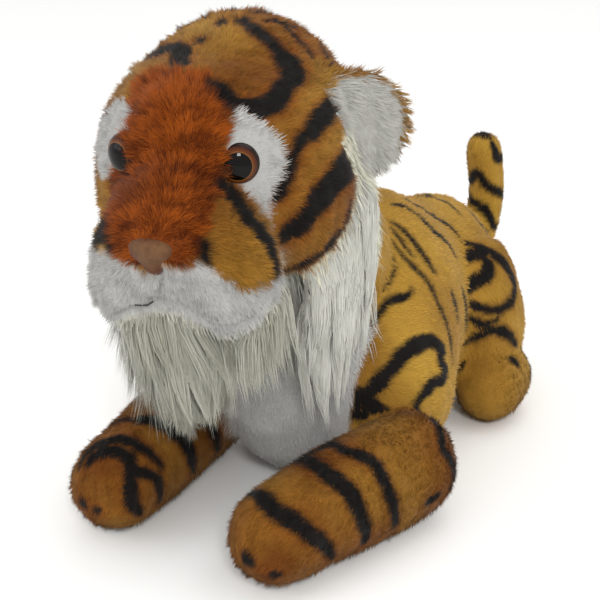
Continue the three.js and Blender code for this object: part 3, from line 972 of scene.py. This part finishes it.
def pile(
    name, faces, seed, spacing, length, radius, lean, clump, gather=0.3, wild=0.15, own=0.3,
    mottle=0.5, keep=None,
):
    """A brushed pile on some of the cloth's triangles. spacing, length, radius and clump are in mm, lean is
    in degrees from upright, gather is how far the tips of a clump meet, wild is how far tufts stray from
    the brushed way, mottle is how unlike their shades are, and keep picks among the roots."""
    draw = np.random.default_rng(seed)
    root = rooted(faces, spacing * mm, draw)
    chosen = (eye_gap(root["place"]) > np.where(rusty(root), -2.5, -1.0) * mm) & ~under_nose(root["place"])
    if keep is not None:
        chosen &= keep(root)
    root = {key: values[chosen] for key, values in root.items()}
    count = len(root["place"])
    step, value = clumped(root["place"], clump * mm, seed)
    step -= (step * root["normal"]).sum(1, keepdims=True) * root["normal"]
    lengths = length * mm * draw.uniform(0.8, 1.1, count) * (1 - 0.3 * root["seam"])
    lengths *= np.where(rusty(root), 1, 0.45 + 0.55 * ramp(eye_gap(root["place"]), 0, 7 * mm))
    lengths *= 1 - 0.5 * creased(root["place"], CREASE_REACH)
    lengths *= 1 - 0.5 * panel(*bearings(root["place"]), NOSE_OUTLINE, NOSE_EDGE)
    tilt = np.radians(lean + draw.normal(0, 5, count) + 6 * waves(root["place"], 18 * mm, seed))
    flow = unit(root["flow"] + wild * (draw.normal(size=(count, 3)) + 4 * (value - 0.5)))
    way = np.cos(tilt)[:, None] * root["normal"] + np.sin(tilt)[:, None] * flow
    foot = root["place"] - ROOT_DEPTH * root["normal"]
    lines = np.stack([foot, foot + way * lengths[:, None] + gather * step], 1)
    radii = radius * mm * draw.uniform(0.8, 1.2, (count, 1))
    # painted shade: the soft ridges are only lighter and darker bands in the tufts' shade, not in their
    # shape
    drift = 0.3 * waves(root["place"] * [0.4, 0.4, 1], 5 * mm, seed + 50)  # soft ridges across the pile
    spread = mottle * (1 - 0.5 * root["dye_and_shade"][:, 2])  # less between white tufts
    shade = 0.5 + spread * (0.3 * draw.normal(size=count) + 0.8 * (value[:, 0] - 0.5) + drift)
    shade += 0.25 * rusty(root) * ramp(on_head(root["place"])[:, 2], 15 * mm, 55 * mm)
    facing = np.repeat(root["normal"][:, None], 2, 1)
    dye_and_shade = np.repeat(root["dye_and_shade"][:, None], 2, 1)
    rise = ((lines[:, 1] - root["place"]) * root["normal"]).sum(1, keepdims=True)
    tip_black, _ = printed(lines[:, 1] - rise * root["normal"], root["share"], draw.uniform(-1, 1, count))
    tip_black *= (1 - root["dye_and_shade"][:, 2]) * (1 - root["dye_and_shade"][:, 3])
    # painted shade: the tips of the tufts in the muzzle's creases are darkened the same way
    painted_crease_shade = 0.35 * root["share"][:, KINDS.index("muzzle")] * creased(root["place"], CREASE_SHADE)
    dye_and_shade[:, 1, 0] = np.maximum(tip_black, painted_crease_shade)
    shade = np.clip(shade, 0, 1)
    piece = locks(name, lines, radii, root, facing, dye_and_shade, shade, flat=0.45, own=own, draw=draw)
    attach(piece, "root")


def panels(*kinds):
    """The cloth's triangles that belong mostly to these kinds of piece."""
    chosen = corner_share[:, [KINDS.index(kind) for kind in kinds]].sum(1)
    return np.flatnonzero(chosen > 0.5)


def sides(faces):
    """The triangles on the tiger's left and on its right."""
    left = cloth[cloth_faces[faces, 0], 0] > 0
    return (("left", faces[left]), ("right", faces[~left]))


def tan(root):
    """Whether each tuft grows anywhere else."""
    return ~rusty(root)


def rim_of_ear(root):
    """Whether each tuft grows on the back of an ear or over its edge."""
    return root["dye_and_shade"][:, 2] < 0.5


def hollow_of_ear(root):
    return ~rim_of_ear(root)


for side, chosen in sides(panels("trunk", "neck")):
    pile(
        f"coat_trunk_{side}", chosen, 11, spacing=1.4, length=4.3, radius=0.56, lean=66,
        clump=4, wild=0.1, own=0.2, mottle=0.4,
    )
pile(
    "coat_haunches", panels("tail", "thigh", "hindpaw"), 12, spacing=1.24, length=4.1,
    radius=0.5, lean=66, clump=4, wild=0.1, own=0.2, mottle=0.4,
)
for side, chosen in sides(panels("foreleg")):
    pile(
        f"coat_foreleg_{side}", chosen, 13, spacing=1.06, length=4.3, radius=0.4, lean=62,
        clump=4, wild=0.16, mottle=0.85,
    )
for side, chosen in sides(panels("head")):
    pile(
        f"coat_head_{side}", chosen, 14, spacing=0.88, length=4.5, radius=0.34, lean=67,
        clump=4, wild=0.22, mottle=0.9, keep=tan,
    )
pile(
    "coat_bridge", panels("head", "muzzle"), 17, spacing=0.6, length=6.6, radius=0.27,
    lean=55, clump=4, wild=0.3, mottle=0.8, keep=rusty,
)
pile(
    "coat_muzzle", panels("muzzle"), 15, spacing=0.66, length=4.8, radius=0.29, lean=60,
    clump=4, wild=0.22, mottle=1, keep=tan,
)
pile(
    "coat_ears", panels("ear"), 16, spacing=0.85, length=8, radius=0.34, lean=68, clump=6,
    wild=0.14, mottle=0.3, keep=hollow_of_ear,
)
pile(
    "coat_ear_rims", panels("ear"), 18, spacing=0.8, length=7, radius=0.36, lean=50, clump=5,
    gather=0.75, keep=rim_of_ear,
)

# ------------------------------------------------------------------ ruff and beard
# Strips of long ivory faux fur are sewn in behind the cheeks and under the chin. A short dense underfur
# fills them, and the long hair hangs over it in wisps to the chest and forelegs, thinning to its tips.
LONG_RINGS = 3
HAIR_TAPER = (1, 0.95, 0.7)  # the hair's width at each ring
LOWEST_TIP = 54 * mm
TIP_SPREAD = 34 * mm  # how far above that the wisps end
HAIR_DRAFT = 0.2  # how far the hair hangs forwards
HAIR_BEND = 0.65  # how soon it hangs straight down
HAIR_GATHER = 0.55  # how far the tips of a wisp meet
HAIR_REACH = 16 * mm  # past this, the cloth has no say in the hair
HAIR_REST = 1.5 * mm  # how far hair stands off before it settles on the cloth
HAIR_SETTLE = 0.18  # how far it then turns back to the cloth
HAIR_SHINE = (0.4, -0.7, 0.55)  # outwards, forwards and up: a hair also passes on light from there
FAN_REACH = 24 * mm  # how far from its middle the hair is fanned out in full


def long_fur_material():
    """Long pile faux fur: soft modacrylic hair with a bloom at grazing angles, darker towards the root as
    painted shade, each hair a little paler or darker than the next."""
    material, tree, output = new_material("long pile faux fur")
    strands = dyes_of(tree)[2]
    shade = mixed(tree, strands["Green"], "C6C4AE", "FFFEF2")
    # painted shade: the hair is darker towards its root
    shade = lit(tree, shade, ranged(tree, strands["Red"], 0.78, 1.08, 0.0, 0.5))
    surface = node(
        tree, "ShaderNodeBsdfPrincipled", {"Base Color": shade},
        {"Roughness": 0.8, "Specular IOR Level": 0.08, "Sheen Weight": 0.25, "Sheen Roughness": 0.5},
    )
    tree.links.new(surface.outputs["BSDF"], output.inputs["Surface"])
    return material


long_fur = long_fur_material()


def not_behind(root):
    """Leaves out the hair behind the ruff, which would stand out past the neck."""
    return root["normal"][:, 1] < 0.15


def throat(root):
    """Only the hair on the front of the neck, above the chest."""
    x, y, z = root["place"].T
    front = root["normal"][:, 1] < -0.5
    return front & (y < -62 * mm) & (z > 106 * mm + 0.3 * np.abs(x))


def hanging(name, faces, seed, spacing, length, radius, wisp, loft, middle, fan, tone, keep=None):
    """Long hair on some of the cloth's triangles. Sizes are in mm; a wisp is the hair that ends in one tip,
    and loft is how far off the cloth the outermost hair lies. The hair fans out to both sides of middle,
    or closes in on it where fan is less than 0. tone is how pale it is, from 0 to 1."""
    draw = np.random.default_rng(seed)
    root = rooted(faces, spacing * mm, draw)
    if keep is not None:
        chosen = keep(root)
        root = {key: values[chosen] for key, values in root.items()}
    count = len(root["place"])
    step, value = clumped(root["place"], wisp * mm, seed)
    step -= (step * root["normal"]).sum(1, keepdims=True) * root["normal"]
    lengths = length * mm * draw.uniform(0.7, 1.1, count) * (0.75 + 0.4 * value[:, 0])
    lengths = np.clip(root["place"][:, 2] - LOWEST_TIP - TIP_SPREAD * value[:, 1], 12 * mm, lengths)
    lift = draw.uniform(0.3, loft, count) * mm
    sway = 0.12 * np.stack([waves(root["place"], 40 * mm, seed + k) for k in (1, 2, 3)], 1)
    stray = 0.03 * draw.normal(size=(count, 3)) + 0.14 * (value - 0.5)
    aside = fan * np.clip((root["place"][:, 0] - middle * mm) / FAN_REACH, -1, 1)
    down = np.ones(count)
    fall = unit(np.stack([aside, -HAIR_DRAFT * down, -down], 1) + sway + stray)
    way = unit(0.4 * root["normal"] + root["flow"])
    points = [root["place"] - ROOT_DEPTH * root["normal"]]
    around = root["normal"].copy()
    facings = [around.copy()]
    for ring in range(LONG_RINGS):
        done = (ring + 1) / LONG_RINGS
        at = points[-1] + way * lengths[:, None] / LONG_RINGS + HAIR_GATHER * step * done**2
        way = unit((1 - HAIR_BEND) * unit(at - points[-1]) + HAIR_BEND * fall)
        for i in range(count):
            near, facing, _, _ = cloth_tree.find_nearest(Vector(at[i]), HAIR_REACH)
            if near is None:
                continue
            around[i] = facing
            room = (Vector(at[i]) - near).dot(facing)
            if room < lift[i]:
                at[i] += np.array(facing) * (lift[i] - room)
            elif room > lift[i] + HAIR_REST:
                way[i] -= HAIR_SETTLE * np.array(facing)
        points.append(at)
        facings.append(around.copy())
        way = unit(way)
    lines = np.stack(points, 1)
    facings[0] = facings[1]
    radii = radius * mm * draw.uniform(0.7, 1.2, count)[:, None] * np.array(HAIR_TAPER)
    shade = np.clip(tone + 0.12 * draw.normal(size=count) + 0.3 * (value[:, 0] - 0.5), 0, 1)
    dye_and_shade = np.repeat(root["dye_and_shade"][:, None], LONG_RINGS + 1, 1)
    shine = np.tile(HAIR_SHINE, (count, 1))
    shine[:, 0] *= np.sign(root["place"][:, 0])
    facings = unit(np.stack(facings, 1) + shine[:, None])
    piece = locks(name, lines, radii, root, facings, dye_and_shade, shade, flat=0.25, own=0.0, draw=draw)
    piece.data.materials.clear()
    piece.data.materials.append(long_fur)
    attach(piece, "root")


pile(
    "coat_ruff", panels("ruff", "beard"), 20, spacing=1.5, length=9, radius=0.9, lean=76,
    clump=6, wild=0.1, own=0.1, mottle=0.25,
)
for side, chosen in sides(panels("ruff")):
    hanging(
        f"fur_ruff_{side}", chosen, 21, spacing=0.92, length=36, radius=0.27, wisp=10, loft=1.8,
        middle=66 if side == "left" else -66, fan=-0.3, tone=1, keep=not_behind,
    )
# The beard is given a low tone: painted shade, its hair darker as it hangs under the chin.
hanging(
    "fur_beard", panels("beard"), 23, spacing=1.1, length=42, radius=0.27, wisp=10, loft=2.2, middle=-20,
    fan=0.5, tone=0.35,
)
hanging(
    "fur_throat", panels("neck", "trunk"), 25, spacing=1.3, length=46, radius=0.32, wisp=10, loft=14,
    middle=0, fan=0.15, tone=1, keep=throat,
)

# ------------------------------------------------------------------ eyes
# Stock safety eyes: a domed acrylic cap with a black pupil and a brown iris under the clear front, pushed
# through the cloth and locked with a washer behind it.
EYE_SIDES = 64
EYE_RINGS = 20
EYE_EDGE = 1.2 * mm  # the straight wall behind the dome
EYE_SUNK = 3.0 * mm  # pulled in against the cloth by its washer
EYE_LIFT = np.radians(10)  # turned up by the stuffing
PUPIL_SHIFT = np.array([-0.08, -0.06])  # the iris looks wider at the outer, upper side
PUPIL = "060404"
IRIS = [  # what follows the pupil, by the share of the eye's radius
    (0.67, "0A0605"), (0.69, "7E5022"), (0.73, "5A3016"), (0.88, "44200F"), (0.96, "1A0B06"),
]


def eye_material():
    """Moulded acrylic: hard, smooth and glossy, with the pupil and iris painted on its surface."""
    material, tree, output = new_material("painted acrylic safety eye")
    ring = node(tree, "ShaderNodeAttribute", attribute_name="ring").outputs["Fac"]
    iris = node(tree, "ShaderNodeValToRGB", {"Fac": ring})
    stops = iris.color_ramp.elements
    stops.remove(stops[1])
    stops[0].color = colour(PUPIL)
    for at, code in IRIS:
        stops.new(at).color = colour(code)
    surface = node(
        tree, "ShaderNodeBsdfPrincipled", {"Base Color": iris.outputs["Color"]},
        {"Roughness": 0.05, "IOR": 1.49, "Specular IOR Level": 0.16},
    )
    tree.links.new(surface.outputs["BSDF"], output.inputs["Surface"])
    return material


def eye_piece(name, side):
    """The cap, turned round its own axis and set in the head, facing forwards and outwards."""
    quarter = np.linspace(0, np.pi / 2, EYE_RINGS + 1)[1:]
    profile = [(EYE_HALF * np.sin(a), EYE_HALF * EYE_FLATNESS * np.cos(a)) for a in quarter]
    profile.append((EYE_HALF, -EYE_EDGE))
    turns = np.linspace(0, 2 * np.pi, EYE_SIDES, endpoint=False)
    flat = [(r * np.cos(t), h, r * np.sin(t)) for r, h in profile for t in turns]
    flat = np.array([*flat, (0, EYE_HALF * EYE_FLATNESS, 0), (0, -EYE_EDGE, 0)])
    faces, front, rear = [], len(flat) - 2, len(flat) - 1
    for j in range(EYE_SIDES):
        k = (j + 1) % EYE_SIDES
        faces.append((front, j, k))
        for ring in range(len(profile) - 1):
            a, b = ring * EYE_SIDES + j, ring * EYE_SIDES + k
            faces += [(a, a + EYE_SIDES, b + EYE_SIDES), (a, b + EYE_SIDES, b)]
        last = (len(profile) - 1) * EYE_SIDES
        faces.append((rear, last + k, last + j))
    level = np.array([side * np.sin(EYE_TURN), -np.cos(EYE_TURN), 0])
    facing = level * np.cos(EYE_LIFT) + [0, 0, np.sin(EYE_LIFT)]
    across = unit(np.cross(facing, [0, 0, 1]))
    axes = np.stack([across, facing, np.cross(across, facing)])
    centre = EYE_CENTRES[int(side > 0)] - EYE_SUNK * facing
    places = (flat @ axes + centre) @ HEAD_TURN.T + HEAD_CENTRE
    piece = mesh_piece(name, places, np.array(faces))
    outer = -side * flat[:, 0] / EYE_HALF
    away = np.hypot(outer - PUPIL_SHIFT[0], flat[:, 2] / EYE_HALF - PUPIL_SHIFT[1])
    piece.data.attributes.new("ring", "FLOAT", "POINT").data.foreach_set("value", away.astype(np.float32))
    piece.data.polygons.foreach_set("use_smooth", np.ones(len(faces), bool))
    piece.data.materials.append(acrylic)
    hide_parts(name.replace("cap", "eye"))
    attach(piece, "root")


acrylic = eye_material()
eye_piece("cap_left", 1)
eye_piece("cap_right", -1)

# ------------------------------------------------------------------ nose
# A soft triangle of beige suede cloth, sewn flat to the end of the muzzle, so that the pile round it
# closes over its edge.
NOSE_STEP = 0.8 * mm
NOSE_SUNK = 1.4 * mm
NOSE_SPREAD = 1.18  # as wide as it is with its edge pressed flat
NAP_SIZE = 0.5 * mm
NAP_CLOUD = 6 * mm  # of cloth whose nap lies the same way


def nose_material():
    """Napped suede cloth: matt and beige, mottled where the nap lies over, browner at its edge as painted
    shade.
    """
    material, tree, output = new_material("napped suede cloth")
    place = node(tree, "ShaderNodeTexCoord").outputs["Object"]
    nap = node(tree, "ShaderNodeTexNoise", {"Vector": place}, {"Scale": 1 / NAP_SIZE, "Detail": 3.0})
    clouds = node(tree, "ShaderNodeTexNoise", {"Vector": place}, {"Scale": 1 / NAP_CLOUD, "Detail": 2.0})
    shade = mixed(tree, ranged(tree, clouds.outputs["Fac"], 0.0, 1.0, 0.35, 0.65), "7A553A", "8F6746")
    middle = node(tree, "ShaderNodeAttribute", attribute_name="middle").outputs["Fac"]
    # painted shade: darker and browner towards the edge, where the pile closes over the nose
    shade = mixed(tree, middle, "6E3F22", shade)
    shade = lit(tree, shade, ranged(tree, nap.outputs["Fac"], 0.85, 1.12))
    surface = node(
        tree, "ShaderNodeBsdfPrincipled", {"Base Color": shade},
        {"Roughness": 0.9, "Specular IOR Level": 0.1, "Sheen Weight": 0.15, "Sheen Roughness": 0.5},
    )
    raised = node(
        tree, "ShaderNodeBump", {"Height": nap.outputs["Fac"]}, {"Strength": 0.5, "Distance": 0.0003}
    )
    tree.links.new(raised.outputs["Normal"], surface.inputs["Normal"])
    tree.links.new(surface.outputs["BSDF"], output.inputs["Surface"])
    return material


nose_places, _, nose_faces = solid_of("nose")
nose = mesh_piece("nose_suede", nose_places, nose_faces)
even = nose.modifiers.new("even", "REMESH")
even.mode = "VOXEL"
even.voxel_size = NOSE_STEP
finished(nose)
nose_edges = np.array([edge.vertices[:] for edge in nose.data.edges])
softened = on_head(relaxed(places_of(nose.data), nose_edges, 8)) + [0, NOSE_SUNK, 0]
nose_middle = softened.mean(0)
softened = (softened - nose_middle) * [NOSE_SPREAD, 1, NOSE_SPREAD] + nose_middle
softened = softened @ HEAD_TURN.T + HEAD_CENTRE
nose.data.vertices.foreach_set("co", softened.astype(np.float32).ravel())
# painted shade at the nose's edge: 0 there, 1 in its middle
middle = ramp(panel(*bearings(softened), NOSE_OUTLINE, 5.0), 0.55, 0.9)
nose.data.attributes.new("middle", "FLOAT", "POINT").data.foreach_set("value", middle.astype(np.float32))
nose.data.polygons.foreach_set("use_smooth", np.ones(len(nose.data.polygons), bool))
nose.data.materials.clear()
nose.data.materials.append(nose_material())
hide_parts("nose")
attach(nose, "root")

# ------------------------------------------------------------------ hand stitches
# Two rows of hand stitches: black thread that draws in the mouth, and white thread that closes the belly
# where the filling went in. Each stitch is a short straight bar of twisted thread laid along its row.
THREAD_SIDES = 8
TWIST = 0.785 * mm  # from rib to rib of the thread


def stitch_tree():
    """Rows of stitches along a mesh line: each is a bar of thread that follows the line."""
    tree = bpy.data.node_groups.new("stitch_row", "GeometryNodeTree")
    for name, kind in (
        ("Line", "NodeSocketGeometry"), ("Step", "NodeSocketFloat"), ("Length", "NodeSocketFloat"),
        ("Thickness", "NodeSocketFloat"), ("Thread", "NodeSocketMaterial"),
    ):
        tree.interface.new_socket(name, in_out="INPUT", socket_type=kind)
    tree.interface.new_socket("Stitches", in_out="OUTPUT", socket_type="NodeSocketGeometry")
    given = node(tree, "NodeGroupInput").outputs
    line = node(tree, "GeometryNodeMeshToCurve", {"Mesh": given["Line"]}).outputs["Curve"]
    spaced = node(tree, "GeometryNodeResampleCurve", {"Curve": line, "Length": given["Step"]}, mode="LENGTH")
    radius = node(tree, "ShaderNodeMath", {0: given["Thickness"]}, {1: 0.5}, operation="MULTIPLY").outputs[0]
    bar = node(
        tree, "GeometryNodeMeshCylinder", {"Radius": radius, "Depth": given["Length"]},
        {"Vertices": THREAD_SIDES, "Side Segments": 4},
    )
    along = node(tree, "GeometryNodeInputTangent").outputs[0]
    turned = node(tree, "FunctionNodeAlignRotationToVector", {"Vector": along}, axis="Z").outputs["Rotation"]
    laid = node(
        tree, "GeometryNodeInstanceOnPoints",
        {"Points": spaced.outputs["Curve"], "Instance": bar.outputs["Mesh"], "Rotation": turned},
    )
    real = node(tree, "GeometryNodeRealizeInstances", {"Geometry": laid.outputs["Instances"]})
    dressed = node(
        tree, "GeometryNodeSetMaterial", {"Geometry": real.outputs["Geometry"], "Material": given["Thread"]}
    )
    output = node(tree, "NodeGroupOutput")
    tree.links.new(dressed.outputs["Geometry"], output.inputs["Stitches"])
    return tree


def thread_material(name, dark, light):
    """Twisted polyester thread: satin, its twist painted across it as ribs of light and shade."""
    material, tree, output = new_material(name)
    place = node(tree, "ShaderNodeTexCoord").outputs["Object"]
    ribs = {"Scale": np.pi / 10 / TWIST, "Distortion": 1.0}  # a wave at scale 1 is pi / 10 long
    twist = node(tree, "ShaderNodeTexWave", {"Vector": place}, ribs)
    # painted shade: the ribs of the twist are bands of a darker and a lighter colour
    shade = mixed(tree, twist.outputs["Fac"], dark, light)
    surface = node(tree, "ShaderNodeBsdfPrincipled", {"Base Color": shade}, {"Roughness": 0.55})
    tree.links.new(surface.outputs["BSDF"], output.inputs["Surface"])
    return material


stitch_row = stitch_tree()


def stitched(name, line, thread, step, length, thickness):
    """A row of stitches along a line of places. Sizes are in mm."""
    mesh = bpy.data.meshes.new(name)
    mesh.from_pydata([list(place) for place in line], [(k, k + 1) for k in range(len(line) - 1)], [])
    piece = bpy.data.objects.new(name, mesh)
    scene.collection.objects.link(piece)
    modifier = piece.modifiers.new("stitches", "NODES")
    modifier.node_group = stitch_row
    given = {"Step": step * mm, "Length": length * mm, "Thickness": thickness * mm, "Thread": thread}
    for socket in stitch_row.interface.items_tree:
        if socket.name in given:
            modifier[socket.identifier] = given[socket.name]
    finished(piece)
    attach(piece, "root")


MOUTH_STITCHES = [(-8.5, -20.5), (-7, -21), (-5.5, -20.8), (-4, -20)]
STITCH_LIFT = 3.2 * mm  # out to where the pile opens
mouth = []
for azimuth, elevation in MOUTH_STITCHES:
    place = np.array(at_muzzle(azimuth, elevation))
    mouth.append(place + unit(place - HEAD_CENTRE) * STITCH_LIFT)
black_thread = thread_material("black polyester thread", "110E0C", "151210")
stitched("stitches_mouth", mouth, black_thread, step=1.5, length=1.9, thickness=0.9)
BELLY_SEAM = (-30, 60)  # from front to back, in mm
belly = [(3 * mm, y * mm, 1.3 * mm) for y in np.linspace(*BELLY_SEAM, 31)]
white_thread = thread_material("white polyester thread", "B5B3AE", "D1CFC8")
stitched("stitches_belly", belly, white_thread, step=6, length=3.6, thickness=0.7)

# ------------------------------------------------------------------ floor, light and camera
# A plain pale studio table with broad soft light, and a camera a little above the toy's head.
CAMERA_AZIMUTH = 35  # degrees from straight in front, towards the tiger's left
CAMERA_HEIGHT = 22  # degrees above level
CAMERA_DISTANCE = 0.8
CAMERA_TARGET = Vector((-8, -60, 110)) * mm
CAMERA_LENS = 78  # on a 36 mm wide sensor


def floor_piece():
    half = 4.0
    corners = np.array([(-half, -half, 0), (half, -half, 0), (half, half, 0), (-half, half, 0)])
    piece = mesh_piece("floor", corners, np.array([(0, 1, 2), (0, 2, 3)]))
    material, tree, output = new_material("matt white studio paper")
    paper = {"Base Color": colour("F6F6F4"), "Roughness": 0.9}
    surface = node(tree, "ShaderNodeBsdfPrincipled", inputs=paper)
    tree.links.new(surface.outputs["BSDF"], output.inputs["Surface"])
    piece.data.materials.append(material)


def soft_light(name, place, power, size):
    """A square light that faces the middle of the toy."""
    lamp = bpy.data.lights.new(name, "AREA")
    lamp.energy = power
    lamp.size = size
    made = bpy.data.objects.new(name, lamp)
    made.location = place
    made.rotation_euler = (CAMERA_TARGET - Vector(place)).to_track_quat("-Z", "Y").to_euler()
    scene.collection.objects.link(made)


floor_piece()
soft_light("key", (0.85, -1.05, 1.0), 9.0, 0.3)
soft_light("fill", (-1.0, -1.2, 0.8), 4, 1.0)
soft_light("top", (0.3, 0.5, 1.6), 4, 1.2)
world = bpy.data.worlds.new("studio")
world.use_nodes = True
world.node_tree.nodes["Background"].inputs["Color"].default_value = colour("FFFFFF")
world.node_tree.nodes["Background"].inputs["Strength"].default_value = 1.0
scene.world = world
scene.view_settings.view_transform = "Standard"

azimuth, height = np.radians([CAMERA_AZIMUTH, CAMERA_HEIGHT])
back = Vector((np.sin(azimuth) * np.cos(height), -np.cos(azimuth) * np.cos(height), np.sin(height)))
camera = bpy.data.objects.new("camera", bpy.data.cameras.new("camera"))
camera.data.lens = CAMERA_LENS
camera.data.sensor_width = 36
camera.location = CAMERA_TARGET + back * CAMERA_DISTANCE
camera.rotation_euler = (-back).to_track_quat("-Z", "Y").to_euler()
scene.collection.objects.link(camera)
scene.camera = camera
